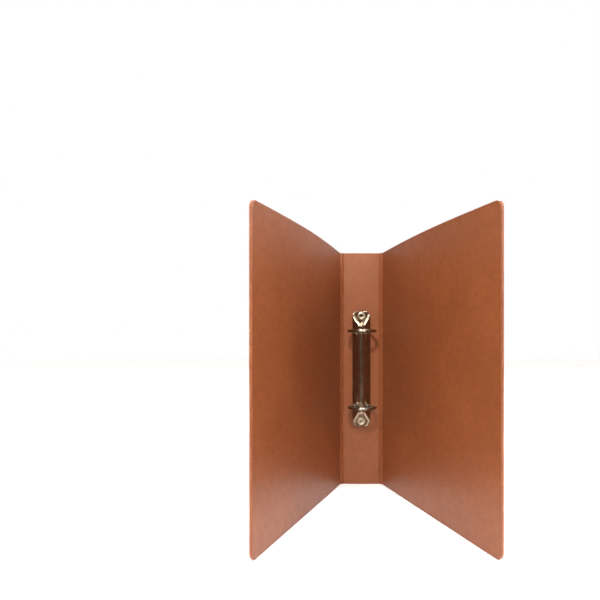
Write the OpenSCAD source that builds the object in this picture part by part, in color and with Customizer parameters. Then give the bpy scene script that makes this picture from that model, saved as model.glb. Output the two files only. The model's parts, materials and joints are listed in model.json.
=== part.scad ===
// Two-ring binder with wrapped boards, standing open on its bottom edges.
// Millimetres. X runs across the spine, -Y towards the reader and Z up the spine.
// The front cover is on the -X side and the back cover on the +X side.

/* [Boards] */
// Height of the spine and of both covers
binder_height = 250; // [200:1:320]
// Width of the spine panel between its two hinge gaps
spine_width = 38; // [30:0.5:60]
// Width of a cover from its hinge gap to its free edge
cover_width = 196; // [150:1:260]
// Radius of the two free corners of a cover
corner_radius = 6; // [3:0.5:12]
// Thickness of the board at its turned-in margins
board_margin_thickness = 1.5; // [1:0.1:2.5]

/* [Covering] */
// Thickness of the leather wrapped round the boards
wrap_thickness = 0.4; // [0.3:0.05:0.6]
// Width of the wrap turned in over the inside of a board
turn_in = 14; // [8:1:20]
// Thickness of the inside liner
liner_thickness = 0.3; // [0.2:0.05:0.5]
// Distance the liner stays back from the free edges
liner_inset = 2; // [1:0.25:4]

/* [Hinges] */
// Distance between the two fold lines of one hinge
hinge_pitch = 4.9; // [4:0.1:8]
// Distance from a fold line to the panel beside it
panel_standoff = 0.8; // [0.6:0.05:1.2]
// Distance the hinge strip runs past a fold line
strip_overrun = 0.25; // [0.1:0.05:0.4]
// Turn of a cover from lying flat to where it stands
cover_fold = 71.5; // [0:0.5:90]

/* [Ring mechanism] */
// Length of the housing
housing_length = 123.5; // [110:0.5:140]
// Width of the housing
housing_width = 19; // [17:0.5:24]
// Height of the housing's crown above the liner
crown_height = 7.2; // [6:0.1:9]
// Height of the housing's upright sides
side_height = 3.2; // [3:0.1:4.5]
// Sheet thickness of the housing
housing_sheet = 0.8; // [0.6:0.1:1]
// Distance between the centres of the two rings
ring_pitch = 80; // [70:1:90]
// Distance between the centres of the two rivets
rivet_pitch = 114; // [105:0.5:125]
// Radius of a ring's centreline
ring_radius = 14; // [12:0.5:20]
// Radius of the ring wire
wire_radius = 1.4; // [1:0.1:2]
// Height of a ring's centre above the liner
ring_centre = 16.5; // [14:0.5:24]
// Angle below level at which a ring meets its leg
leg_angle = 62; // [55:1:70]

/* [Blades] */
// Length of a blade
blade_length = 89; // [84:1:90]
// Width of a blade
blade_width = 7.9; // [7:0.1:8.2]
// Thickness of a blade
blade_thickness = 1.2; // [0.8:0.1:1.4]
// Distance of a blade's pivot line from the middle
pivot_offset = 8.3; // [8:0.05:8.4]
// Height of the pivot line above the liner
pivot_height = 2.2; // [2:0.1:2.6]
// Tilt of a closed blade below level
blade_tilt = 7.5; // [4:0.5:9]

/* [Rivets] */
// Radius of an eyelet's rolled head
eyelet_head_radius = 4.3; // [3.5:0.1:5]
// Radius of the hole through an eyelet
eyelet_bore = 1.5; // [1.2:0.1:2]
// Outer radius of an eyelet's tube
eyelet_tube = 2.4; // [2:0.1:3]
// Radius of a rivet cap
cap_radius = 4.4; // [3.5:0.1:5.5]
// Height of a rivet cap's dome
cap_height = 2; // [1.2:0.1:3]

/* [Hidden] */
$fn = 96;
eps = 0.01;
// Heights through a panel, measured from its middle and positive to the inside
panel_thickness = 2.6;
outer_face = -panel_thickness / 2;
inner_face = panel_thickness / 2;
wrap_inside = outer_face + wrap_thickness;
liner_back = inner_face - liner_thickness;
turn_in_back = wrap_inside + board_margin_thickness;
// Fold lines of the +X hinge, with the spine's middle plane at spine_y
fold_a_x = spine_width / 2 + panel_standoff;
fold_b_x = fold_a_x + hinge_pitch * cos(cover_fold / 2);
fold_b_drop = hinge_pitch * sin(cover_fold / 2);
cover_reach = (panel_standoff + cover_width) * sin(cover_fold)
    + panel_thickness / 2 * cos(cover_fold);
depth_front = fold_b_drop + cover_reach;
depth_back = panel_thickness / 2 + cap_height;
spine_y = (depth_front - depth_back) / 2;
// Housing arch
half_width = housing_width / 2;
arch_rise = crown_height - side_height;
arch_radius = (half_width * half_width + arch_rise * arch_rise) / (2 * arch_rise);
arch_centre = crown_height - arch_radius;
housing_floor = 0.3;
lip_top = 1.1;
lip_inner = 7.6;
seat_top = 0.8;
// Dish at each end of the housing, from the rivet towards the end and the middle
dish_end = 4.7;
dish_end_half = 5.3;
dish_side_half = 9.8;
dish_tip = 11;
dish_tip_half = 3.3;
end_rim_height = 2.8;
notch_inner = 5;
notch_half = 2;
// Ring joint and legs
tip_gap = 0.15;
tip_gap_angle = asin(tip_gap / ring_radius);
tongue_half_width = 0.4;
tongue_half_height = 0.55;
tongue_length = 1.35;
tongue_clearance = 0.35;
leg_x = ring_radius * cos(leg_angle);
leg_height = ring_centre - ring_radius * sin(leg_angle);
knuckle_radius = 1.48;
stem_radius = 0.9;
stem_hole = 0.95;
stem_head_radius = 1.3;
stem_head = 0.4;
stem_inset = 1.48;
stem_length = 2.2;
// Rivets through the spine
rivet_hole = 2.5;
seat_hole = 2.45;
shank_radius = 1.4;
shank_end = -0.8;
cap_rim = 0.3;
spine_outside = -panel_thickness;

// ---- Placement ---------------------------------------------------------------

// Spine panel: X across, Y up the panel, Z to the inside
module at_spine() {
    translate([0, spine_y, 0]) rotate([90, 0, 0]) children();
}

// Hinge strip, with X from the fold line beside the spine to the one beside the cover
module at_hinge() {
    translate([fold_a_x, spine_y, 0]) rotate([0, 0, -cover_fold / 2]) rotate([90, 0, 0])
        children();
}

// Cover panel, with X from its hinge-side edge to its free edge
module at_cover() {
    translate([fold_b_x, spine_y - fold_b_drop, 0]) rotate([0, 0, -cover_fold])
        translate([panel_standoff, 0, 0]) rotate([90, 0, 0]) children();
}

// Ring mechanism: X across, Y along the housing from its middle, Z up from the liner
module at_liner() {
    translate([0, spine_y - inner_face, binder_height / 2]) rotate([90, 0, 0]) children();
}

// Blade frame of the +X side: X inward from the pivot line, Z square to the blade
module at_blade() {
    translate([pivot_offset, 0, pivot_height]) mirror([1, 0, 0]) rotate([0, blade_tilt, 0])
        children();
}

module to_front() {
    mirror([1, 0, 0]) children();
}

module slab(z0, z1) {
    translate([0, 0, z0]) linear_extrude(height = z1 - z0) children();
}

// ---- Panels ------------------------------------------------------------------

// Rectangle with rounded corners at its x1 end only
module cover_outline(x0, x1, margin, radius) {
    top = binder_height - margin;
    translate([x0, margin]) square([x1 - radius - x0, top - margin]);
    translate([x1 - radius - eps, margin + radius])
        square([radius + eps, top - margin - 2 * radius]);
    for (y = [margin + radius, top - radius]) translate([x1 - radius, y]) circle(r = radius);
}

module strip_outline(x0, x1, margin) {
    translate([x0, margin]) square([x1 - x0, binder_height - 2 * margin]);
}

module cover_board() {
    slab(wrap_inside, turn_in_back)
        cover_outline(wrap_thickness, cover_width - wrap_thickness, wrap_thickness,
                      corner_radius - wrap_thickness);
    slab(wrap_inside, liner_back) strip_outline(wrap_thickness, cover_width - turn_in, turn_in);
}

module cover_wrap() {
    difference() {
        slab(outer_face, liner_back) cover_outline(0, cover_width, 0, corner_radius);
        slab(wrap_inside, turn_in_back)
            cover_outline(wrap_thickness, cover_width - wrap_thickness, wrap_thickness,
                          corner_radius - wrap_thickness);
        slab(wrap_inside, liner_back + 1)
            strip_outline(wrap_thickness, cover_width - turn_in, turn_in);
        slab(0, liner_back + 1) strip_outline(-1, wrap_thickness, liner_inset);
    }
}

module cover_liner() {
    slab(liner_back, inner_face)
        cover_outline(0, cover_width - liner_inset, liner_inset, corner_radius - liner_inset);
    slab(0, inner_face) strip_outline(0, wrap_thickness, liner_inset);
}

module rivet_holes() {
    for (s = [-1, 1]) translate([0, binder_height / 2 + s * rivet_pitch / 2, outer_face - 1])
        cylinder(r = rivet_hole, h = panel_thickness + 2);
}

module spine_board() {
    color("tan") at_spine() difference() {
        union() {
            slab(wrap_inside, turn_in_back)
                strip_outline(wrap_thickness - spine_width / 2, spine_width / 2 - wrap_thickness,
                              wrap_thickness);
            slab(wrap_inside, liner_back)
                strip_outline(wrap_thickness - spine_width / 2, spine_width / 2 - wrap_thickness,
                              turn_in);
        }
        rivet_holes();
    }
}

module spine_wrap() {
    inner_edge = spine_width / 2 - wrap_thickness;
    color("peru") at_spine() difference() {
        slab(outer_face, liner_back) strip_outline(-spine_width / 2, spine_width / 2, 0);
        slab(wrap_inside, turn_in_back) strip_outline(-inner_edge, inner_edge, wrap_thickness);
        slab(wrap_inside, liner_back + 1) strip_outline(-inner_edge, inner_edge, turn_in);
        slab(0, liner_back + 1) strip_outline(inner_edge, spine_width, liner_inset);
        slab(0, liner_back + 1) strip_outline(-spine_width, -inner_edge, liner_inset);
        rivet_holes();
    }
}

module spine_liner() {
    half = spine_width / 2;
    color("sienna") at_spine() difference() {
        union() {
            slab(liner_back, inner_face) strip_outline(-half, half, liner_inset);
            slab(0, inner_face) strip_outline(half - wrap_thickness, half, liner_inset);
            slab(0, inner_face) strip_outline(-half, wrap_thickness - half, liner_inset);
        }
        rivet_holes();
    }
}

module hinge_wrap() {
    slab(-wrap_thickness, 0) strip_outline(-strip_overrun, hinge_pitch + strip_overrun, 0);
}

module hinge_liner() {
    slab(0, liner_thickness)
        strip_outline(-strip_overrun, hinge_pitch + strip_overrun, liner_inset);
}

module back_hinge_wrap() { color("peru") at_hinge() hinge_wrap(); }
module back_hinge_liner() { color("sienna") at_hinge() hinge_liner(); }
module back_board() { color("tan") at_cover() cover_board(); }
module back_wrap() { color("peru") at_cover() cover_wrap(); }
module back_liner() { color("sienna") at_cover() cover_liner(); }

module front_hinge_wrap() { color("peru") to_front() at_hinge() hinge_wrap(); }
module front_hinge_liner() { color("sienna") to_front() at_hinge() hinge_liner(); }
module front_board() { color("tan") to_front() at_cover() cover_board(); }
module front_wrap() { color("peru") to_front() at_cover() cover_wrap(); }
module front_liner() { color("sienna") to_front() at_cover() cover_liner(); }

// ---- Housing -----------------------------------------------------------------

// Arch section, X across and Y up; inset shrinks it by the sheet's thickness
module arch_section(inset) {
    intersection() {
        translate([0, arch_centre]) circle(r = arch_radius - inset);
        translate([inset - half_width, housing_floor])
            square([2 * (half_width - inset), crown_height]);
    }
}

module arch_solid(inset, length) {
    rotate([90, 0, 0]) linear_extrude(height = length, center = true) arch_section(inset);
}

// Six-sided dish at the +Y end, drawn round the rivet and grown by a sheet's thickness
module dish_outline(grow) {
    translate([0, rivet_pitch / 2]) polygon([
        [-dish_end_half - grow, dish_end + grow], [dish_end_half + grow, dish_end + grow],
        [dish_side_half + grow, 0], [dish_tip_half + grow, -dish_tip - grow],
        [-dish_tip_half - grow, -dish_tip - grow], [-dish_side_half - grow, 0]]);
}

module both_ends() {
    children();
    mirror([0, 1, 0]) children();
}

// The room the housing fills: past each rivet it narrows to the dish and lies low
module envelope() {
    translate([-half_width, -rivet_pitch / 2, 0])
        cube([housing_width, rivet_pitch, crown_height]);
    both_ends() intersection() {
        slab(0, end_rim_height) dish_outline(housing_sheet);
        translate([-half_width, 0, 0]) cube([housing_width, housing_length / 2, crown_height]);
    }
}

module dish_walls() {
    intersection() {
        envelope();
        arch_solid(0, housing_length);
        difference() {
            slab(0, crown_height) dish_outline(housing_sheet);
            slab(-1, crown_height + 1) dish_outline(0);
        }
    }
}

module dish_seat() {
    difference() {
        intersection() {
            slab(0, seat_top) dish_outline(housing_sheet);
            translate([-half_width, 0, 0]) cube([housing_width, housing_length / 2, seat_top]);
        }
        translate([0, rivet_pitch / 2, -1]) cylinder(r = seat_hole, h = seat_top + 2);
    }
}

module housing_lips() {
    rail = housing_length - 2 * (dish_end + dish_tip);
    for (s = [-1, 1]) translate([s * (lip_inner + half_width) / 2, 0, (housing_floor + lip_top) / 2])
        cube([half_width - lip_inner, rail, lip_top - housing_floor], center = true);
}

module leg_notches() {
    for (s = [-1, 1], y = [-ring_pitch / 2, ring_pitch / 2])
        translate([s > 0 ? notch_inner : -notch_inner - half_width, y - notch_half, -1])
            cube([half_width, 2 * notch_half, crown_height + 2]);
}

module housing() {
    color("dimgray") at_liner() {
        difference() {
            intersection() {
                envelope();
                union() {
                    arch_solid(0, housing_length);
                    housing_lips();
                }
            }
            difference() {
                arch_solid(housing_sheet, housing_length + 2);
                housing_lips();
            }
            leg_notches();
            both_ends() slab(-1, crown_height + 1) dish_outline(0);
        }
        both_ends() dish_walls();
        both_ends() dish_seat();
    }
}

// ---- Rivets ------------------------------------------------------------------

module eyelet() {
    roll = (eyelet_head_radius - eyelet_bore) / 2;
    rotate_extrude() {
        translate([eyelet_bore, spine_outside])
            square([eyelet_tube - eyelet_bore, seat_top - spine_outside + eps]);
        intersection() {
            translate([eyelet_bore + roll, seat_top]) circle(r = roll);
            translate([eyelet_bore, seat_top]) square([2 * roll, roll]);
        }
    }
}

module rivet_cap() {
    dome = cap_height - cap_rim;
    dome_radius = (cap_radius * cap_radius + dome * dome) / (2 * dome);
    translate([0, 0, spine_outside]) mirror([0, 0, 1]) {
        cylinder(r = cap_radius, h = cap_rim);
        intersection() {
            translate([0, 0, cap_height - dome_radius]) sphere(r = dome_radius);
            cylinder(r = cap_radius, h = cap_height + 1);
        }
    }
    translate([0, 0, spine_outside - eps])
        cylinder(r = shank_radius, h = shank_end - spine_outside + eps);
}

module upper_eyelet() {
    color("silver") at_liner() translate([0, rivet_pitch / 2, 0]) eyelet();
}
module lower_eyelet() {
    color("silver") at_liner() translate([0, -rivet_pitch / 2, 0]) eyelet();
}
module upper_rivet_cap() {
    color("silver") at_liner() translate([0, rivet_pitch / 2, 0]) rivet_cap();
}
module lower_rivet_cap() {
    color("silver") at_liner() translate([0, -rivet_pitch / 2, 0]) rivet_cap();
}

// ---- Blades and rings --------------------------------------------------------

module blade() {
    at_blade() difference() {
        translate([0, -blade_length / 2, -blade_thickness / 2])
            cube([blade_width, blade_length, blade_thickness]);
        for (y = [-ring_pitch / 2, ring_pitch / 2]) translate([stem_inset, y, -2])
            cylinder(r = stem_hole, h = 4);
    }
}

module stem() {
    at_blade() translate([stem_inset, 0, 0]) {
        translate([0, 0, -blade_thickness / 2 - stem_head])
            cylinder(r = stem_radius, h = stem_length + blade_thickness / 2 + stem_head);
        translate([0, 0, -blade_thickness / 2 - stem_head])
            cylinder(r = stem_head_radius, h = stem_head);
        translate([0, 0, blade_thickness / 2]) cylinder(r = stem_head_radius, h = stem_head);
    }
}

module half_ring_body() {
    translate([0, 0, ring_centre]) rotate([90, 0, 0]) rotate([0, 0, -leg_angle])
        rotate_extrude(angle = 90 + leg_angle - tip_gap_angle)
            translate([ring_radius, 0]) circle(r = wire_radius);
    translate([leg_x, 0, leg_height]) sphere(r = knuckle_radius);
    stem();
}

module tip_box(x0, x1, half_y, half_z) {
    translate([x0, -half_y, ring_centre + ring_radius - half_z])
        cube([x1 - x0, 2 * half_y, 2 * half_z]);
}

module slotted_half_ring() {
    difference() {
        half_ring_body();
        tip_box(-1, tongue_length + tongue_clearance, tongue_half_width + tongue_clearance,
                tongue_half_height + tongue_clearance);
    }
}

module tongued_half_ring() {
    mirror([1, 0, 0]) half_ring_body();
    tip_box(-1, tongue_length, tongue_half_width, tongue_half_height);
}

module right_blade() { color("gray") at_liner() blade(); }
module left_blade() { color("gray") at_liner() mirror([1, 0, 0]) blade(); }
module upper_right_half_ring() {
    color("silver") at_liner() translate([0, ring_pitch / 2, 0]) slotted_half_ring();
}
module lower_right_half_ring() {
    color("silver") at_liner() translate([0, -ring_pitch / 2, 0]) slotted_half_ring();
}
module upper_left_half_ring() {
    color("silver") at_liner() translate([0, ring_pitch / 2, 0]) tongued_half_ring();
}
module lower_left_half_ring() {
    color("silver") at_liner() translate([0, -ring_pitch / 2, 0]) tongued_half_ring();
}

spine_board();
spine_wrap();
spine_liner();
housing();
upper_eyelet();
lower_eyelet();
upper_rivet_cap();
lower_rivet_cap();
front_hinge_wrap();
front_hinge_liner();
front_board();
front_wrap();
front_liner();
back_hinge_wrap();
back_hinge_liner();
back_board();
back_wrap();
back_liner();
left_blade();
upper_left_half_ring();
lower_left_half_ring();
right_blade();
upper_right_half_ring();
lower_right_half_ring();
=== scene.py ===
"""A two-ring leather binder standing open on a pale floor, with its inside towards the camera.

Everything is in metres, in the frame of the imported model: X across the spine, -Y towards the
reader and Z up. A panel's own coordinates are u along its width from the hinge, z up, and t
through it from its middle, positive to the inside. The ring mechanism's are x across the
spine, y up from the middle of the spine, and h above the liner.
"""
import json
import math

import bmesh
import bpy
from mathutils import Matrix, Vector, noise


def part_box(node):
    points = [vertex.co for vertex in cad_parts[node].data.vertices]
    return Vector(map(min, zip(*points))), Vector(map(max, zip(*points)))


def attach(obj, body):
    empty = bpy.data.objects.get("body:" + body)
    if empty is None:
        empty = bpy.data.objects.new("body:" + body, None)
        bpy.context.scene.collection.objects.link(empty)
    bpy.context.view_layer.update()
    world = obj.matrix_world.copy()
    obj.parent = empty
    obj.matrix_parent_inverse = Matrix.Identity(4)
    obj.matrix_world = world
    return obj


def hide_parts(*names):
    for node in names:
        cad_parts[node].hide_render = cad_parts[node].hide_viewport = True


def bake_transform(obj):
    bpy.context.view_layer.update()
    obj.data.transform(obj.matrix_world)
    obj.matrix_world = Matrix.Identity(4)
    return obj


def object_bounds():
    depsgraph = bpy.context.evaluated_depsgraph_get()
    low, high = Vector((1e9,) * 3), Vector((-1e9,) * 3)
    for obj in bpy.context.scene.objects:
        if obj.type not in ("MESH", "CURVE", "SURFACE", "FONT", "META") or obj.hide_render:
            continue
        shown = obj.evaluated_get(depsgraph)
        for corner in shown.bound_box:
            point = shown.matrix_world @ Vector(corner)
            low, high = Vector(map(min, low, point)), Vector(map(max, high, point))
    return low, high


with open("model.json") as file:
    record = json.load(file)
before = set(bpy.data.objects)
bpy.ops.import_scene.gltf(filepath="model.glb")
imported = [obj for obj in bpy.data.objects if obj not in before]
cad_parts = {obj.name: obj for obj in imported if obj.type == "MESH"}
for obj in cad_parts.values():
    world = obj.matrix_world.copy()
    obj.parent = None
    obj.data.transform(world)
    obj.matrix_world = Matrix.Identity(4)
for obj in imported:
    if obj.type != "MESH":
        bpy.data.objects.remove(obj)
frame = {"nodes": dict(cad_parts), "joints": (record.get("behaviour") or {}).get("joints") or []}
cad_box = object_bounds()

MM = 0.001

# ---- Sizes read from the frame ------------------------------------------------

joints = {j["name"]: j for j in frame["joints"]}
height = cad_box[1].z
middle = height / 2
half_thickness = 1.3 * MM
liner_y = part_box("spine_liner")[0].y
spine_y = liner_y + half_thickness
spine_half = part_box("spine_wrap")[1].x
fold_a = Vector(joints["back_hinge_fold"]["pos_m"])
fold_b = Vector(joints["back_cover_fold"]["pos_m"])
half_fold = math.atan2(fold_a.y - fold_b.y, fold_b.x - fold_a.x)
cover_fold = 2 * half_fold
hinge_pitch = math.hypot(fold_b.x - fold_a.x, fold_b.y - fold_a.y)
standoff = fold_a.x - spine_half
strip_length = hinge_pitch + 2 * standoff
cover_width = 196 * MM
corner_radius = 6 * MM

# Layers through a panel, as thicknesses and as depths from its middle
wrap_sheet = 0.4 * MM
liner_sheet = 0.3 * MM
wrap_inside = wrap_sheet - half_thickness
turn_in_back = 0.6 * MM
liner_back = half_thickness - liner_sheet

# The margin turned in over the board, the liner's step back from the edge, the covers' bow
turn_in = 14 * MM
liner_inset = 0.5 * MM
cover_bow = 4.5 * MM

# Ring mechanism
ring_y = 40 * MM
rivet_y = (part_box("upper_eyelet")[0].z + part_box("upper_eyelet")[1].z) / 2 - middle
housing_half_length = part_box("housing")[1].z - middle
housing_half_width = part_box("housing")[1].x
crown = liner_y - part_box("housing")[0].y
blade_edge = Vector(joints["right_ring_open"]["pos_m"])
ring_radius = 14 * MM
wire_radius = 1.4 * MM
ring_centre = 16.5 * MM


# ---- Mesh helpers -------------------------------------------------------------

def ease(x):
    """Runs smoothly from 0 to 1."""
    x = min(1.0, max(0.0, x))
    return x * x * (3 - 2 * x)


def through(points, x):
    """The value at x of a smooth line through (x, value) points."""
    for (x0, v0), (x1, v1) in zip(points, points[1:]):
        if x <= x1:
            return v0 + (v1 - v0) * ease((x - x0) / (x1 - x0))
    return points[-1][1]


def stations(breaks, step):
    """Places along a line that hit every break and lie at most a step apart."""
    places = [breaks[0]]
    for low, high in zip(breaks, breaks[1:]):
        count = max(1, math.ceil((high - low) / step - 1e-6))
        places += [low + (high - low) * k / count for k in range(1, count + 1)]
    return places


def ripple(x, y, size, seed):
    """Soft random hills between -1 and 1 whose width is about size."""
    return noise.noise(Vector((x / size, y / size, seed)))


def new_piece(name, bm, material, body=None, stands_for=()):
    """Makes an object of a bmesh, smooth-shaded between its sharp edges, and rides it."""
    bmesh.ops.recalc_face_normals(bm, faces=bm.faces[:])
    mesh = bpy.data.meshes.new(name)
    bm.to_mesh(mesh)
    bm.free()
    mesh.materials.append(material)
    mesh.polygons.foreach_set("use_smooth", [True] * len(mesh.polygons))
    mesh.set_sharp_from_angle(angle=math.radians(38))
    obj = bpy.data.objects.new(name, mesh)
    bpy.context.scene.collection.objects.link(obj)
    if stands_for:
        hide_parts(*stands_for)
    if body:
        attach(obj, body)
    return obj


def round_edges(obj, width, segments=3):
    """Rounds the edges that carry a bevel weight."""
    bevel = obj.modifiers.new("round edges", "BEVEL")
    bevel.limit_method = "WEIGHT"
    bevel.width = width
    bevel.segments = segments
    bevel.harden_normals = True


def sweep(bm, rings, close_ends=True):
    """Skins a list of closed rings of points into a tube."""
    rows = [[bm.verts.new(p) for p in ring] for ring in rings]
    for low, high in zip(rows, rows[1:]):
        for k in range(len(low)):
            n = (k + 1) % len(low)
            bm.faces.new((low[k], low[n], high[n], high[k]))
    if close_ends:
        bm.faces.new(rows[0])
        bm.faces.new(rows[-1])
    return rows


# ---- Where the panels lie -----------------------------------------------------

def spine_place(u, z, t):
    """Places a point of the spine."""
    return Vector((u - spine_half, spine_y - t, z))


def cover_bend(u, z):
    """How far a cover has bowed to the inside, most at the middle of its top edge."""
    across = math.sin(math.pi * min(1.0, max(0.0, u / cover_width)))
    return cover_bow * across * ease(z / height) ** 1.5


def cover_place(side):
    """Places a point of the back cover (side 1) or the front cover (side -1)."""
    along = Vector((math.cos(cover_fold), -math.sin(cover_fold), 0))
    inward = Vector((-math.sin(cover_fold), -math.cos(cover_fold), 0))

    def place(u, z, t):
        point = Vector((fold_b.x, fold_b.y, z))
        point += along * (standoff + u) + inward * (t + cover_bend(u, z))
        return Vector((side * point.x, point.y, point.z))

    return place


def spine_grain(u, z, t):
    """A spine point's place on the hide, whose X runs across from the spine's middle."""
    return Vector((u - spine_half, z, t))


def cover_grain(side):
    """Carries the hide's X on past the hinge strip, so the grain runs on over a cover."""
    return lambda u, z, t: Vector((side * (spine_half + strip_length + u), z, t))


# ---- Panels -------------------------------------------------------------------

class Panel:
    """The grid that a wrapped panel's layers share. A free end has round corners."""

    STEP = 4 * MM

    def __init__(self, width, free_end, place, grain):
        self.width = width
        self.free_end = free_end
        self.place = place
        self.grain = grain
        ends = [width - turn_in, width - corner_radius, width] if free_end else [width]
        self.us = stations([0.0] + ends, self.STEP)
        lower = [0.0, corner_radius, turn_in]
        self.zs = stations(lower + [height - z for z in reversed(lower)], self.STEP)

    def outline(self, u, z, inset):
        """Moves a grid point so that the grid ends at the outline set back by the inset."""
        radius = corner_radius - inset
        squeeze = radius / corner_radius
        end = self.width - corner_radius
        low, high = corner_radius, height - corner_radius
        if z < low:
            z = low - (low - z) * squeeze
        if z > high:
            z = high + (z - high) * squeeze
        if not self.free_end or u <= end:
            return u, z
        a = (u - end) / corner_radius
        corner_z = min(high, max(low, z))
        b = (z - corner_z) / radius
        across = a * math.sqrt(1 - b * b / 2)
        up = b * math.sqrt(1 - a * a / 2)
        return end + radius * across, corner_z + radius * up

    def layer(self, bm, inset, t, end_wall=0.0, roughen=None):
        """Points of the whole grid at one depth, each with its place on the hide."""
        tag = bm.verts.layers.float_vector["grain"]
        rows = []
        for u in self.us:
            row = []
            for z in self.zs:
                x, y = self.outline(u, z, inset)
                x = max(x, end_wall)
                if not self.free_end:
                    x = min(x, self.width - end_wall)
                depth = t + (roughen(x, y) if roughen else 0.0)
                vertex = bm.verts.new(self.place(x, y, depth))
                vertex[tag] = self.grain(x, y, depth)
                row.append(vertex)
            rows.append(row)
        return rows

    def in_margin(self, i, j):
        """Whether the cell from grid point i, j lies under the turned-in leather."""
        z = (self.zs[j] + self.zs[j + 1]) / 2
        u = (self.us[i] + self.us[i + 1]) / 2
        return z < turn_in or z > height - turn_in or (self.free_end and u > self.width - turn_in)


def start_mesh():
    """An empty mesh whose points can carry their place on the hide."""
    bm = bmesh.new()
    bm.verts.layers.float_vector.new("grain")
    return bm


def quad(bm, a, b, c, d):
    bm.faces.new((a, b, c, d))


def rim_path(panel):
    """Grid points once round the panel's outline, as index pairs."""
    last_u, last_z = len(panel.us) - 1, len(panel.zs) - 1
    path = [(i, 0) for i in range(last_u)] + [(last_u, j) for j in range(last_z)]
    path += [(i, last_z) for i in range(last_u, 0, -1)] + [(0, j) for j in range(last_z, 0, -1)]
    return path


def slab(panel, low, high):
    """A closed sheet between two layers of a panel, given as keyword sets for layer()."""
    bm = start_mesh()
    bottom, top = panel.layer(bm, **low), panel.layer(bm, **high)
    for i in range(len(panel.us) - 1):
        for j in range(len(panel.zs) - 1):
            for face in (bottom, top):
                quad(bm, face[i][j], face[i + 1][j], face[i + 1][j + 1], face[i][j + 1])
    path = rim_path(panel)
    for (i, j), (k, m) in zip(path, path[1:] + path[:1]):
        quad(bm, bottom[i][j], bottom[k][m], top[k][m], top[i][j])
    return bm


def wrap_shell(panel, roughen):
    """Leather round a board: an outer sheet, the edges, and a margin turned in over the inside."""
    bm = start_mesh()
    weight = bm.edges.layers.float.new("bevel_weight_edge")
    outer = panel.layer(bm, 0.0, -half_thickness, roughen=roughen)
    floor = panel.layer(bm, wrap_sheet, wrap_inside, end_wall=wrap_sheet)
    under = panel.layer(bm, wrap_sheet, turn_in_back, end_wall=wrap_sheet)
    lip = panel.layer(bm, 0.0, liner_back)
    last_u, last_z = len(panel.us) - 1, len(panel.zs) - 1
    margin = {(i, j) for i in range(last_u) for j in range(last_z) if panel.in_margin(i, j)}
    for i in range(last_u):
        for j in range(last_z):
            for face in (outer, floor, under, lip):
                if face in (outer, floor) or (i, j) in margin:
                    quad(bm, face[i][j], face[i + 1][j], face[i + 1][j + 1], face[i][j + 1])
            # The margin's inner rim, towards the open middle
            for k, m in ((i + 1, j), (i, j + 1)):
                if k < last_u and m < last_z and ((i, j) in margin) != ((k, m) in margin):
                    quad(bm, under[k][m], under[i + 1][j + 1], lip[i + 1][j + 1], lip[k][m])
    path = rim_path(panel)
    for (i, j), (k, m) in zip(path, path[1:] + path[:1]):
        cell = (min(i, k, last_u - 1), min(j, m, last_z - 1))
        if cell in margin:
            quad(bm, outer[i][j], outer[k][m], lip[k][m], lip[i][j])
            quad(bm, floor[i][j], floor[k][m], under[k][m], under[i][j])
        else:
            quad(bm, outer[i][j], outer[k][m], floor[k][m], floor[i][j])
        hinge_end = i == k and (i == 0 or not panel.free_end)
        if not hinge_end:
            for face in (outer, lip):
                bm.edges.get((face[i][j], face[k][m]))[weight] = 1.0
    # Where the margin's side wall stops at a hinge end
    ends = [0] if panel.free_end else [0, last_u]
    for i in ends:
        cell = min(i, last_u - 1)
        for j in range(1, last_z):
            if ((cell, j - 1) in margin) != ((cell, j) in margin):
                quad(bm, outer[i][j], lip[i][j], under[i][j], floor[i][j])
    bmesh.ops.delete(bm, geom=[v for v in bm.verts if not v.link_faces], context="VERTS")
    return bm


# How far the wrap's folded edges are rounded and the liner's cut edge leans in
EDGE_ROUNDING = 0.6 * MM
LINER_CHAMFER = 0.1 * MM


def hide_ripple(seed):
    """The slight unevenness of leather stretched over a board: wide hills and small ones."""
    def rise(u, z):
        return 0.12 * MM * ripple(u, z, 22 * MM, seed) + 0.05 * MM * ripple(u, z, 7 * MM, seed)
    return rise


def make_panel(name, panel, body, seed, leather, lining, board):
    """One wrapped panel: the leather shell, the liner over its margin and the board inside."""
    bm = wrap_shell(panel, hide_ripple(seed))
    wrap = new_piece(name + "_wrap_leather", bm, leather, body, (name + "_wrap",))
    round_edges(wrap, EDGE_ROUNDING)
    back = dict(inset=liner_inset, t=liner_back)
    face = dict(inset=liner_inset + LINER_CHAMFER, t=half_thickness, roughen=hide_ripple(seed + 5))
    bm = slab(panel, back, face)
    new_piece(name + "_liner_leather", bm, lining, body, (name + "_liner",))
    back = dict(inset=wrap_sheet, t=wrap_inside, end_wall=wrap_sheet)
    face = dict(inset=wrap_sheet, t=turn_in_back, end_wall=wrap_sheet)
    bm = slab(panel, back, face)
    new_piece(name + "_board_core", bm, board, body, (name + "_board",))


# ---- Hinges -------------------------------------------------------------------

# Depth of the outer leather and of the liner's inner face along the strip, in millimetres
OUTER_PROFILE = ((0, -1.3), (1.2, -0.42), (3.25, -0.8), (5.3, -0.42), (6.5, -1.3))
INNER_PROFILE = ((0, 1.3), (1.1, 0.42), (3.25, 0.62), (5.4, 0.42), (6.5, 1.3))
# How far either side of a fold line the strip bends at rest, and how far past its fold each half's
# span reaches
BEND_REACH = 1.1 * MM
TURN_REACH = 1.3 * MM


def strip_depth(profile, s):
    """The profile's depth at s along a strip, stretched to the strip's real length."""
    return through(profile, s / strip_length * profile[-1][0]) * MM


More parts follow.
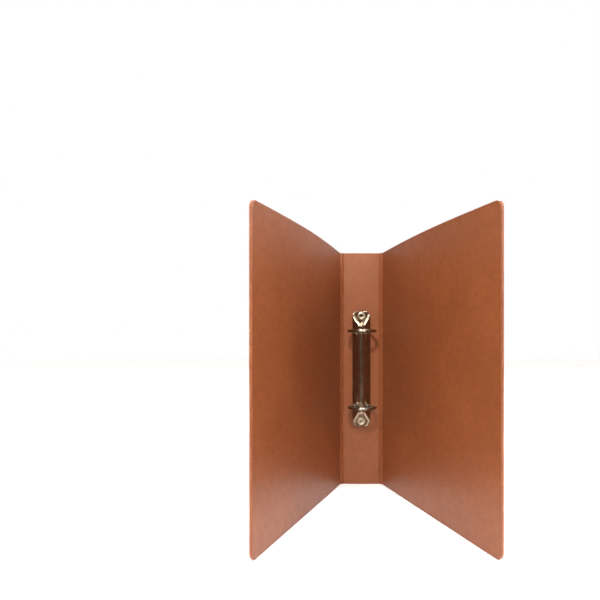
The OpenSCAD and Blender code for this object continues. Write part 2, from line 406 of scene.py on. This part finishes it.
def strip_line(side):
    """Points and headings along the middle of a bent hinge strip, from spine to cover."""
    steps = 240
    ds = strip_length / steps
    folds = (standoff, standoff + hinge_pitch)
    heading = []
    for k in range(steps + 1):
        turned = sum(ease((k * ds - fold + BEND_REACH) / (2 * BEND_REACH)) for fold in folds)
        heading.append(half_fold * turned)
    # The bend has begun before the strip does, so what it has turned by then is faded out
    start = ease((BEND_REACH - standoff) / (2 * BEND_REACH)) * half_fold
    heading = [h - start * (1 - k / steps) for k, h in enumerate(heading)]
    points = [Vector((spine_half, spine_y))]
    for low, high in zip(heading, heading[1:]):
        a = (low + high) / 2
        points.append(points[-1] + ds * Vector((math.cos(a), -math.sin(a))))
    along = Vector((math.cos(cover_fold), -math.sin(cover_fold)))
    # What the line misses the cover's edge by is spread over its length
    miss = fold_b.xy + along * standoff - points[-1]
    points = [p + miss * (k / steps) for k, p in enumerate(points)]
    heading[0], heading[-1] = 0.0, cover_fold

    def place(s, z, t):
        k = min(steps - 1, int(s / ds))
        f = s / ds - k
        p = points[k].lerp(points[k + 1], f)
        a = heading[k] + (heading[k + 1] - heading[k]) * f
        return Vector((side * (p.x - math.sin(a) * t), p.y - math.cos(a) * t, z))

    return place


def strip_skin(side, s_low, s_high, inset, low, high):
    """A closed stretch of hinge leather between two depth profiles."""
    bm = start_mesh()
    tag = bm.verts.layers.float_vector["grain"]
    place = strip_line(side)
    ss = stations([s_low, s_high], 0.25 * MM)
    zs = stations([inset, height - inset], 5 * MM)

    def vertex(s, z, depth):
        v = bm.verts.new(place(s, z, depth(s)))
        v[tag] = Vector((side * (spine_half + s), z, depth(s)))
        return v

    bottom = [[vertex(s, z, low) for z in zs] for s in ss]
    top = [[vertex(s, z, high) for z in zs] for s in ss]
    for i in range(len(ss) - 1):
        for j in range(len(zs) - 1):
            for face in (bottom, top):
                quad(bm, face[i][j], face[i + 1][j], face[i + 1][j + 1], face[i][j + 1])
        for j in (0, len(zs) - 1):
            quad(bm, bottom[i][j], bottom[i + 1][j], top[i + 1][j], top[i][j])
    for i in (0, len(ss) - 1):
        for j in range(len(zs) - 1):
            quad(bm, bottom[i][j], bottom[i][j + 1], top[i][j + 1], top[i][j])
    return bm


def make_hinge(name, side, leather, lining):
    """Each strip is two pieces that meet between its folds."""
    def outer(s):
        return strip_depth(OUTER_PROFILE, s)

    def inner(s):
        return strip_depth(INNER_PROFILE, s)

    def core(s):
        return inner(s) - liner_sheet

    half = strip_length / 2
    spine_along = Vector((side, 0, 0))
    cover_along = Vector((side * math.cos(cover_fold), -math.sin(cover_fold), 0))
    first = Vector((side * fold_a.x, fold_a.y, 0))
    second = Vector((side * fold_b.x, fold_b.y, 0))
    cover = name.replace("hinge", "cover")
    halves = {
        "spine_side": (0, half, ("spine", name), first - spine_along * standoff,
                       first + spine_along * TURN_REACH),
        "cover_side": (half, strip_length, (name, cover), second - cover_along * TURN_REACH,
                       second + cover_along * standoff),
    }
    for part, (s_low, s_high, bodies, start, end) in halves.items():
        stands_for = part == "spine_side"
        bm = strip_skin(side, s_low, s_high, 0.0, outer, core)
        wrap = new_piece(f"{name}_wrap_{part}", bm, leather, None,
                         (name + "_wrap",) if stands_for else ())
        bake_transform(wrap)
        bm = strip_skin(side, s_low, s_high, liner_inset, core, inner)
        liner = new_piece(f"{name}_liner_{part}", bm, lining, None,
                          (name + "_liner",) if stands_for else ())
        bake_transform(liner)


# ---- Materials ----------------------------------------------------------------

class Nodes:
    """Short ways to build one material's nodes."""

    def __init__(self, name):
        self.material = bpy.data.materials.new(name)
        self.material.use_nodes = True
        self.tree = self.material.node_tree
        self.shader = self.tree.nodes["Principled BSDF"]

    def feed(self, socket, value):
        """Links an output to a socket, or sets the socket's own value."""
        if isinstance(value, bpy.types.NodeSocket):
            self.tree.links.new(value, socket)
        else:
            socket.default_value = value

    def add(self, kind, inputs=None, **settings):
        """A new node, with values or outputs for its sockets."""
        node = self.tree.nodes.new(kind)
        for key, value in settings.items():
            setattr(node, key, value)
        for key, value in (inputs or {}).items():
            self.feed(node.inputs[key], value)
        return node

    def noise(self, vector, scale, detail=4.0, rough=0.55, distortion=0.0):
        """Noise between 0 and 1 with scale hills to the metre."""
        inputs = {"Vector": vector, "Scale": scale, "Detail": detail, "Roughness": rough,
                  "Distortion": distortion}
        return self.add("ShaderNodeTexNoise", inputs).outputs["Fac"]

    def ramp(self, value, stops):
        """A ramp over (place, colour) pairs; a number stands for a grey."""
        node = self.add("ShaderNodeValToRGB", {"Fac": value})
        ramp = node.color_ramp
        while len(ramp.elements) < len(stops):
            ramp.elements.new(0.5)
        for element, (place, colour) in zip(ramp.elements, stops):
            element.position = place
            if not isinstance(colour, (tuple, list)):
                colour = (colour, colour, colour)
            element.color = (*colour, 1.0)
        return node.outputs["Color"]

    def mix(self, factor, a, b, blend="MIX"):
        """Two colours mixed, each an output or an (r, g, b) tuple."""
        node = self.add("ShaderNodeMix", data_type="RGBA", blend_type=blend)
        for key, value in (("Factor", factor), ("A", a), ("B", b)):
            self.feed(node.inputs[key], (*value, 1.0) if isinstance(value, tuple) else value)
        return node.outputs["Result"]

    def math(self, operation, a, b=0.0):
        node = self.add("ShaderNodeMath", {0: a, 1: b}, operation=operation)
        return node.outputs[0]

    def grain(self, stretch=(1, 1, 1)):
        """A point's place on the hide, in metres."""
        place = self.add("ShaderNodeAttribute", attribute_name="grain").outputs["Vector"]
        inputs = {"Vector": place, "Scale": stretch}
        return self.add("ShaderNodeMapping", inputs).outputs["Vector"]

    def bump(self, layers):
        """Bumps from (height socket, depth in metres) pairs, one over the other."""
        normal = None
        for value, depth in layers:
            inputs = {"Height": value, "Strength": 1.0, "Distance": depth}
            if normal is not None:
                inputs["Normal"] = normal
            normal = self.add("ShaderNodeBump", inputs).outputs["Normal"]
        self.tree.links.new(normal, self.shader.inputs["Normal"])

    def link(self, value, name):
        """Feeds one of the shader's own sockets."""
        self.feed(self.shader.inputs[name], value)


def srgb(r, g, b):
    """A colour given as it looks on a screen, 0 to 255, as linear light."""
    return tuple((c / 255 / 12.92) if c < 11 else ((c / 255 + 0.055) / 1.055) ** 2.4
                 for c in (r, g, b))


def outer_leather():
    """Tan-orange grained leather: mottled dye, glossy pebbles and stretch wrinkles."""
    n = Nodes("outer_leather")
    place = n.grain()
    blotch = n.noise(place, 38.0, 7.0, 0.68, 0.5)
    tone = n.ramp(blotch, [(0.34, srgb(168, 90, 42)), (0.52, srgb(179, 103, 52)),
                           (0.70, srgb(190, 119, 66))])
    fleck = n.noise(place, 640.0, 4.0, 0.65)
    shade = n.ramp(fleck, [(0.28, 0.70), (0.52, 1.0), (0.75, 1.18)])
    parts = n.add("ShaderNodeSeparateXYZ", {"Vector": place}).outputs
    # Painted shade: darker in the hinge grooves and over the boards' folded edges, where the
    # leather lies deeper than its outer face
    inputs = {"Value": parts["Z"], "From Min": -0.95 * MM, "From Max": -0.3 * MM}
    groove_shade = n.add("ShaderNodeMapRange", inputs).outputs["Result"]
    shaded = n.mix(1.0, tone, (0.50, 0.42, 0.38), "MULTIPLY")
    # Painted highlight: paler in a thin line just inside each board's hinge edge, where the raised
    # board edge catches the light
    reach = n.math("ABSOLUTE", parts["X"])
    lines = None
    for line in (spine_half - 1.4 * MM, spine_half + strip_length + 1.2 * MM):
        off = n.math("ABSOLUTE", n.math("SUBTRACT", reach, line))
        inputs = {"Value": off, "From Max": 0.9 * MM, "To Min": 0.5, "To Max": 0.0}
        mark = n.add("ShaderNodeMapRange", inputs).outputs["Result"]
        lines = mark if lines is None else n.math("ADD", lines, mark)
    highlight_lined = n.mix(lines, tone, srgb(226, 164, 114))
    n.link(n.mix(1.0, n.mix(groove_shade, highlight_lined, shaded), shade, "MULTIPLY"), "Base Color")
    cells = n.add("ShaderNodeTexVoronoi", {"Vector": place, "Scale": 900.0, "Randomness": 1.0},
                  feature="SMOOTH_F1").outputs["Distance"]
    wrinkle = n.noise(n.grain((1.0, 1.6, 1.0)), 480.0, 4.0, 0.62, 1.4)
    swell = n.noise(place, 70.0, 3.0, 0.5)
    n.bump([(swell, 0.5 * MM), (wrinkle, 0.42 * MM), (cells, 0.20 * MM)])
    n.link(n.ramp(wrinkle, [(0.35, 0.58), (0.65, 0.36)]), "Roughness")
    n.link(0.5, "Specular IOR Level")
    n.link(0.15, "Coat Weight")
    n.link(0.30, "Coat Roughness")
    return n.material


def lining_leather():
    """Smooth red-brown lining: fine even grain, faint clouds in the dye, a satin sheen."""
    n = Nodes("lining_leather")
    place = n.grain()
    cloud = n.noise(place, 14.0, 6.0, 0.6, 0.4)
    tone = n.ramp(cloud, [(0.30, srgb(119, 64, 35)), (0.55, srgb(125, 68, 38)),
                          (0.75, srgb(132, 74, 42))])
    mottle = n.noise(place, 190.0, 5.0, 0.7)
    patches = n.ramp(mottle, [(0.30, 0.86), (0.5, 1.0), (0.72, 1.12)])
    fibre = n.noise(place, 900.0, 3.0, 0.6)
    shade = n.ramp(fibre, [(0.25, 0.86), (0.5, 1.0), (0.8, 1.10)])
    n.link(n.mix(1.0, n.mix(1.0, tone, shade, "MULTIPLY"), patches, "MULTIPLY"), "Base Color")
    pores = n.noise(place, 1500.0, 3.0, 0.6)
    soft = n.noise(place, 90.0, 4.0, 0.5)
    n.bump([(soft, 0.12 * MM), (pores, 0.025 * MM)])
    n.link(n.ramp(mottle, [(0.3, 0.44), (0.7, 0.38)]), "Roughness")
    n.link(0.5, "Specular IOR Level")
    n.link((1.0, 0.78, 0.62, 1.0), "Specular Tint")
    return n.material


def grey_board():
    """Pressed grey-brown board with short fibres."""
    n = Nodes("grey_board")
    place = n.grain()
    fibre = n.noise(n.grain((1.0, 0.35, 1.0)), 600.0, 6.0, 0.7)
    n.link(n.ramp(fibre, [(0.3, srgb(122, 108, 90)), (0.7, srgb(158, 143, 122))]), "Base Color")
    n.bump([(n.noise(place, 900.0, 4.0, 0.7), 0.08 * MM)])
    n.link(0.9, "Roughness")
    return n.material


def metal(name, low, high, rough_low, rough_high, brushing=(1, 1, 1), bump=0.004 * MM):
    """Plated or bare steel with fine tool marks and slightly uneven polish."""
    n = Nodes(name)
    place = n.add("ShaderNodeTexCoord").outputs["Object"]
    inputs = {"Vector": place, "Scale": brushing}
    marks = n.add("ShaderNodeMapping", inputs).outputs["Vector"]
    haze = n.noise(place, 160.0, 4.0, 0.6)
    lines = n.noise(marks, 2500.0, 3.0, 0.6)
    n.link(n.ramp(haze, [(0.3, low), (0.7, high)]), "Base Color")
    n.link(n.ramp(haze, [(0.3, rough_low), (0.7, rough_high)]), "Roughness")
    n.bump([(lines, bump)])
    n.link(1.0, "Metallic")
    return n.material


# ---- Housing ------------------------------------------------------------------

# The sheet's thickness, and heights above the liner: the rivet's seat, the lips turned under,
# the long sides' top edges and the ends' rims
sheet = 0.8 * MM
seat = 0.8 * MM
floor_gap = 0.3 * MM
side_height = 3.2 * MM
end_rim = 2.8 * MM
# How near the middle the lips reach, and the notches that the half rings swing in
lip_inner = 7.6 * MM
notch_inner = 5.0 * MM
notch_half = 2.0 * MM
# The dish's outline from the rivet: the end, the widest place, and the tip of the V
dish_end, dish_end_half = 4.7 * MM, 5.3 * MM
dish_side_half = 9.8 * MM
dish_tip, dish_tip_half = 11.0 * MM, 3.3 * MM
# From the outline inwards: a rolled bead, a collar that slopes gently in, a wall to the seat
bead_height, bead_width = 0.3 * MM, 0.9 * MM
collar_slope, collar_width = 0.10, 2.2 * MM
dish_wall = 1.7 * MM
# How quickly the arch gives way to the collar at the outline, and one edge to the next
collar_start = 0.5 * MM
edge_blend = 0.02 * MM
# The ridges beside the legs: height, distance from the crown, width, length and run-out
ridge_height, ridge_x, ridge_width = 0.45 * MM, 5.7 * MM, 0.75 * MM
ridge_length, ridge_start, ridge_end = 8.5 * MM, 0.8 * MM, 3 * MM
# Radius of the bend along the crown
crown_bend = 3.5 * MM


def arch_height(x):
    """A tight bend along the crown that runs out into nearly flat flanks."""
    fall = math.hypot(housing_half_width, crown_bend) - crown_bend
    return crown - (crown - side_height) * (math.hypot(x, crown_bend) - crown_bend) / fall


def half_width_at(y):
    """Half the housing's width: full between the rivets, narrowing with the dish past them."""
    past = abs(y) - rivet_y
    if past <= 0:
        return housing_half_width
    grown = dish_side_half + sheet - (dish_side_half - dish_end_half) * past / dish_end
    return min(housing_half_width, grown)


def dish_edges(x, y):
    """The dish's straight edges, as (how far inside the edge, height of the edge there)."""
    inward = rivet_y - abs(y)
    x = abs(x)
    flank = Vector((dish_side_half - dish_tip_half, dish_tip)).normalized()
    from_flank = (dish_side_half - x) * flank.y - inward * flank.x
    from_tip = dish_tip - inward
    end = Vector((dish_side_half - dish_end_half, dish_end)).normalized()
    from_end = (dish_side_half - x) * end.y + inward * end.x
    flank_height = arch_height(x + flank.y * max(0.0, from_flank))
    return (from_flank, flank_height), (from_tip, arch_height(x)), (from_end, end_rim)


def top_height(x, y):
    """The housing's outer surface: the arch, pressed down to the rivet's seat in each dish."""
    full = arch_height(x)
    past = max(0.0, (abs(y) - rivet_y) / (housing_half_length - rivet_y))
    rim = full + (min(full, end_rim) - full) * ease(past * 2.5)
    edges = dish_edges(x, y)
    inside = min(distance for distance, _ in edges)
    bead = bead_height * math.exp(-(inside / bead_width) ** 2)
    if inside <= 0:
        return rim + bead
    weights = [1 / (distance + edge_blend) ** 2 for distance, _ in edges]
    slopes = [edge_height - collar_slope * distance for distance, edge_height in edges]
    collar = sum(w * h for w, h in zip(weights, slopes)) / sum(weights)
    collar = rim + (collar - rim) * ease(inside / collar_start) + bead
    return collar + (seat - collar) * ease((inside - collar_width) / dish_wall)


def leg_bead(x, y):
    """A short ridge on either side of the crown, running from each ring to the middle."""
    run = ring_y - abs(y) - notch_half
    along = ease(run / ridge_start) * ease((ridge_length - run) / ridge_end)
    across = math.exp(-((abs(x) - ridge_x) / ridge_width) ** 2)
    return ridge_height * along * across


def housing_section(y):
    """The outer side of the sheet at y, from the left lip over the crown to the right lip."""
    w = half_width_at(y)
    edge = top_height(w, y)
    left = [(-w + (housing_half_width - lip_inner) * k, floor_gap) for k in (1.0, 0.55, 0.2)]
    left += [(-w, floor_gap + (edge - floor_gap) * k) for k in (0.1, 0.4, 0.7, 0.93)]
    count = 76
    over = [-w + 2 * w * (k + 0.5) / count for k in range(count)]
    crest = [(x, top_height(x, y) + leg_bead(x, y)) for x in over]
    right = [(-x, h) for x, h in reversed(left)]
    return left + crest + right


def on_spine(x, y, h):
    """Places a point of the ring mechanism."""
    return Vector((x, liner_y - h, middle + y))


def make_housing(material):
    """One bent sheet, open underneath, with notches in its sides where the half rings swing."""
    breaks = [-housing_half_length, -ring_y - notch_half, -ring_y + notch_half,
              ring_y - notch_half, ring_y + notch_half, housing_half_length]
    ys = stations(breaks, 0.45 * MM)
    bm = bmesh.new()
    rows = [[(bm.verts.new(on_spine(x, y, h)), x) for x, h in housing_section(y)] for y in ys]
    for y0, y1, low, high in zip(ys, ys[1:], rows, rows[1:]):
        in_notch = abs(abs(y0 + y1) / 2 - ring_y) < notch_half
        for k in range(len(low) - 1):
            if in_notch and abs(low[k][1] + low[k + 1][1]) / 2 > notch_inner:
                continue
            quad(bm, low[k][0], low[k + 1][0], high[k + 1][0], high[k][0])
    bmesh.ops.delete(bm, geom=[v for v in bm.verts if not v.link_faces], context="VERTS")
    housing = new_piece("housing_plate", bm, material, None, ("housing",))
    thicken = housing.modifiers.new("sheet", "SOLIDIFY")
    thicken.thickness = sheet
    thicken.offset = -1.0
    thicken.use_rim = True
    return housing


# ---- Rivets and rings ---------------------------------------------------------

def lathe(bm, profile, x, y, segments=64):
    """Turns a closed profile of (radius, h) points round a rivet's axis."""
    rings = []
    for r, h in profile:
        rings.append([on_spine(x + r * math.cos(a), y + r * math.sin(a), h)
                      for a in (2 * math.pi * k / segments for k in range(segments))])
    return sweep(bm, rings, close_ends=False)


def arc_points(centre, radius, start, end, count):
    """Points on an arc, angles in degrees from +r towards +h."""
    angles = [math.radians(start + (end - start) * k / count) for k in range(count + 1)]
    return [(centre[0] + radius * math.cos(a), centre[1] + radius * math.sin(a)) for a in angles]


def make_eyelet(name, y, material):
    """A tube through the spine whose end is rolled over on the housing's seat."""
    bore, tube, head = 1.5 * MM, 2.4 * MM, 4.3 * MM
    roll = (head - bore) / 2
    outside = -2 * half_thickness
    underside, rolled_edge = seat - 0.02 * MM, head - 0.3 * MM
    profile = [(bore, outside)] + arc_points((bore + roll, seat), roll, 180, 0, 24)
    profile += [(rolled_edge, underside), (tube, underside), (tube, outside)]
    bm = bmesh.new()
    rows = lathe(bm, profile, 0, y)
    for k in range(len(rows[0])):
        n = (k + 1) % len(rows[0])
        quad(bm, rows[0][k], rows[0][n], rows[-1][n], rows[-1][k])
    new_piece(name + "_rolled", bm, material, "spine", (name,))


def make_rivet_cap(name, y, material):
    """A domed cap on the outside of the spine with its post in the eyelet's tube."""
    radius, rise, rim, post = 4.4 * MM, 2.0 * MM, 0.3 * MM, 1.4 * MM
    outside = -2 * half_thickness
    post_end, post_chamfer, edge_chamfer, axis_hole = -0.8 * MM, 0.2 * MM, 0.15 * MM, 0.02 * MM
    dome = rise - rim
    sphere = (radius ** 2 + dome ** 2) / (2 * dome)
    sweep_angle = math.degrees(math.asin(radius / sphere))
    profile = [(axis_hole, post_end), (post - post_chamfer, post_end)]
    profile += [(post, post_end - post_chamfer), (post, outside)]
    profile += [(radius - edge_chamfer, outside), (radius, outside - 0.8 * edge_chamfer)]
    dome_centre = (0, outside - rise + sphere)
    profile += arc_points(dome_centre, sphere, -90 + sweep_angle, -90, 20)[:-1]
    profile += [(axis_hole, outside - rise)]
    bm = bmesh.new()
    rows = lathe(bm, profile, 0, y)
    bm.faces.new(rows[0])
    bm.faces.new(rows[-1])
    new_piece(name + "_dome", bm, material, "spine", (name,))


def wire_ring(centre, across, up, radius, count=28):
    """A circle of points round a wire."""
    return [centre + radius * (across * math.cos(a) + up * math.sin(a))
            for a in (2 * math.pi * k / count for k in range(count))]


# The rounding of the wire's end at the joint, and the ball where the ring meets its stem
TIP_ROUNDING = 0.18 * MM
KNUCKLE_RADIUS = 1.48 * MM
# The stem through the blade: height above the blade's middle, radius (thin neck, riveted head)
STEM = [(1.2 * MM, 0.9 * MM), (0.75 * MM, 0.9 * MM), (0.75 * MM, 1.3 * MM),
        (-0.75 * MM, 1.3 * MM)]
# Where the ring ends, as an angle below the level of its middle
LEG_ANGLE = math.radians(62)
# The blade leans in from the edge it turns on, and the stem stands this far in from that edge
BLADE_TILT = math.radians(7.5)
STEM_INSET = 1.48 * MM
# Half the gap between the two half rings at the joint, and points along a half ring
TIP_GAP = 0.15 * MM
RING_STEPS = 56
# The tongue's half sizes, its reach past the joint and back from it, and the bore it enters
TONGUE_HALF = (0.4 * MM, 0.55 * MM)
TONGUE_REACH = 1.35 * MM
TONGUE_ROOT = 0.6 * MM
BORE_RADIUS = 0.95 * MM
BORE_STEPS = 3


def half_ring_path(side):
    """The wire's middle line and radius, from the joint down to the stem riveted in the blade."""
    top = math.pi / 2 - TIP_GAP / ring_radius
    angles = [top - (top + LEG_ANGLE) * k / RING_STEPS for k in range(RING_STEPS + 1)]
    path = [(ring_radius * math.cos(a), ring_centre + ring_radius * math.sin(a)) for a in angles]
    radii = [wire_radius - TIP_ROUNDING] + [wire_radius] * RING_STEPS
    stem_x = blade_edge.x - STEM_INSET * math.cos(BLADE_TILT)
    stem_h = liner_y - blade_edge.y - STEM_INSET * math.sin(BLADE_TILT)
    for rise, radius in STEM:
        path.append((stem_x - rise * math.sin(BLADE_TILT), stem_h + rise * math.cos(BLADE_TILT)))
        radii.append(radius)
    return [(side * x, h, radius) for (x, h), radius in zip(path, radii)]


def add_ball(bm, centre, radius, rows=14):
    """A closed ball of circles stacked along the binder's height."""
    rings = []
    for k in range(1, rows):
        angle = math.pi * k / rows - math.pi / 2
        level = centre + Vector((0, 0, radius * math.sin(angle)))
        rings.append(wire_ring(level, Vector((1, 0, 0)), Vector((0, 1, 0)),
                               radius * math.cos(angle)))
    sweep(bm, rings)


def make_half_ring(name, side, y, body, material):
    """Half an O ring with its stem, and a tongue (left) or the bore it enters (right)."""
    path = half_ring_path(side)
    up = Vector((0, 0, 1))
    rings = []
    for k, (x, h, radius) in enumerate(path):
        before, after = path[max(0, k - 1)], path[min(len(path) - 1, k + 1)]
        along = Vector((after[0] - before[0], after[1] - before[1])).normalized()
        point = on_spine(x, y, h)
        across = Vector((-along.y, -along.x, 0))
        rings.append(wire_ring(point, across, up, radius))
        if side > 0 and k in (0, BORE_STEPS):
            rings.insert(0, wire_ring(point, across, up, BORE_RADIUS))
    bm = bmesh.new()
    sweep(bm, rings)
    if side < 0:
        half_y, half_h = TONGUE_HALF
        box = []
        for bx in (-TONGUE_ROOT, TONGUE_REACH):
            box.append([on_spine(bx, y + sy * half_y, ring_centre + ring_radius + sh * half_h)
                        for sy, sh in ((-1, -1), (1, -1), (1, 1), (-1, 1))])
        sweep(bm, box)
    x, h, _ = path[-1 - len(STEM)]
    add_ball(bm, on_spine(x, y, h), KNUCKLE_RADIUS)
    new_piece(name + "_wire", bm, material, body, (name,))


# ---- The binder ---------------------------------------------------------------

leather = outer_leather()
lining = lining_leather()
board = grey_board()
nickel = metal("bright_nickel", srgb(206, 196, 178), srgb(228, 220, 204), 0.20, 0.27)
wire_metal = metal("wire_nickel", srgb(142, 133, 120), srgb(162, 153, 139), 0.12, 0.18)
satin = metal("satin_nickel", srgb(182, 170, 148), srgb(206, 196, 174), 0.26, 0.36)
housing_metal = metal("dark_nickel", srgb(142, 124, 104), srgb(164, 146, 124), 0.17, 0.25,
                      (1, 1, 0.03))
steel = metal("blade_steel", srgb(150, 150, 148), srgb(176, 176, 172), 0.28, 0.42, (1, 1, 0.02))

make_panel("spine", Panel(2 * spine_half, False, spine_place, spine_grain), "spine", 1.0,
           leather, lining, board)
for name, side, seed in (("front", -1, 2.0), ("back", 1, 3.0)):
    panel = Panel(cover_width, True, cover_place(side), cover_grain(side))
    make_panel(name, panel, name + "_cover", seed, leather, lining, board)
    make_hinge(name + "_hinge", side, leather, lining)

housing = make_housing(housing_metal)
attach(housing, "spine")
for level, sign in (("upper", 1), ("lower", -1)):
    make_eyelet(level + "_eyelet", sign * rivet_y, satin)
    make_rivet_cap(level + "_rivet_cap", sign * rivet_y, nickel)
    for hand, side in (("left", -1), ("right", 1)):
        make_half_ring(f"{level}_{hand}_half_ring", side, sign * ring_y, hand + "_half", wire_metal)
for name in ("left_blade", "right_blade"):
    blade = frame["nodes"][name]
    blade.data.materials.clear()
    blade.data.materials.append(steel)


# ---- Floor, lights and camera -------------------------------------------------

# The floor's half size, how far it reaches towards the camera, and its drop below the binder
FLOOR_HALF = 3.0
FLOOR_FRONT = 0.28
FLOOR_DROP = 0.05 * MM


def make_floor():
    """A plain pale floor that stops in front, so the metal reflects a dim room there."""
    n = Nodes("floor_paint")
    place = n.add("ShaderNodeTexCoord").outputs["Object"]
    n.link(n.ramp(n.noise(place, 3.0, 3.0), [(0.3, 0.93), (0.7, 0.96)]), "Base Color")
    n.link(0.7, "Roughness")
    bm = bmesh.new()
    bmesh.ops.create_grid(bm, x_segments=8, y_segments=8, size=FLOOR_HALF)
    bmesh.ops.translate(bm, verts=bm.verts, vec=(0, FLOOR_HALF - FLOOR_FRONT, 0))
    mesh = bpy.data.meshes.new("floor")
    bm.to_mesh(mesh)
    bm.free()
    mesh.materials.append(n.material)
    floor = bpy.data.objects.new("floor", mesh)
    bpy.context.scene.collection.objects.link(floor)
    floor.location.z = -FLOOR_DROP


def softbox(name, place, width, power):
    """A square soft light aimed at the binder's middle."""
    light = bpy.data.lights.new(name, "AREA")
    light.shape = "SQUARE"
    light.size = width
    light.energy = power
    obj = bpy.data.objects.new(name, light)
    bpy.context.scene.collection.objects.link(obj)
    obj.location = place
    towards = Vector((0, 0, middle)) - obj.location
    obj.rotation_euler = towards.to_track_quat("-Z", "Y").to_euler()


def downlight(power, spread):
    """Even light from straight above, for the floor."""
    light = bpy.data.lights.new("downlight", "SUN")
    light.energy = power
    light.angle = math.radians(spread)
    obj = bpy.data.objects.new("downlight", light)
    bpy.context.scene.collection.objects.link(obj)
    obj.location = (0, 0, 2)


def make_world(seen, front, back):
    """White to the camera. What it lights sees a dim warm room in front, a pale wall behind."""
    world = bpy.data.worlds.new("studio")
    bpy.context.scene.world = world
    world.use_nodes = True
    tree = world.node_tree
    background = tree.nodes["Background"]
    direction = tree.nodes.new("ShaderNodeTexCoord").outputs["Generated"]
    parts = tree.nodes.new("ShaderNodeSeparateXYZ")
    tree.links.new(direction, parts.inputs["Vector"])
    # From straight ahead to halfway round to the back, the front's colour fades to the back's
    room = tree.nodes.new("ShaderNodeValToRGB")
    room.color_ramp.elements[0].position = 0.1
    room.color_ramp.elements[0].color = (*front, 1)
    room.color_ramp.elements[1].position = 0.5
    room.color_ramp.elements[1].color = (*back, 1)
    tree.links.new(parts.outputs["Y"], room.inputs["Fac"])
    path = tree.nodes.new("ShaderNodeLightPath")
    mix = tree.nodes.new("ShaderNodeMix")
    mix.data_type = "RGBA"
    mix.inputs["B"].default_value = (*seen, 1)
    tree.links.new(room.outputs["Color"], mix.inputs["A"])
    tree.links.new(path.outputs["Is Camera Ray"], mix.inputs["Factor"])
    tree.links.new(mix.outputs["Result"], background.inputs["Color"])


def make_camera():
    """Level, a little left of the spine and above the binder's middle, close and wide."""
    data = bpy.data.cameras.new("camera")
    data.sensor_width = 36
    data.lens = 28.44
    data.shift_x = -0.0577
    data.shift_y = 0.0805
    camera = bpy.data.objects.new("camera", data)
    bpy.context.scene.collection.objects.link(camera)
    camera.location = (-28.8 * MM, liner_y - 513 * MM, 146.9 * MM)
    camera.rotation_euler = (math.radians(90), 0, 0)
    bpy.context.scene.camera = camera


make_floor()
make_camera()
make_world(seen=(1, 1, 1), front=(0.16, 0.10, 0.065), back=(0.5, 0.5, 0.5))
softbox("key", (-0.09, -0.62, 0.68), 0.11, 8.4)
# These two show in the sloping collars of the housing's dishes
softbox("high_left", (-0.30, -0.53, 0.91), 0.24, 1.5)
softbox("high_right", (0.40, -0.49, 0.89), 0.24, 1.5)
softbox("front_left", (-0.45, -1.3, 0.7), 0.45, 3.5)
softbox("left_side", (-1.6, -0.5, 1.0), 1.4, 10)
softbox("right_side", (1.6, -0.3, 0.95), 1.4, 29)
softbox("back_right", (0.7, 1.6, 1.2), 0.35, 15)
downlight(2.7, 25)
bpy.context.scene.view_settings.view_transform = "Standard"
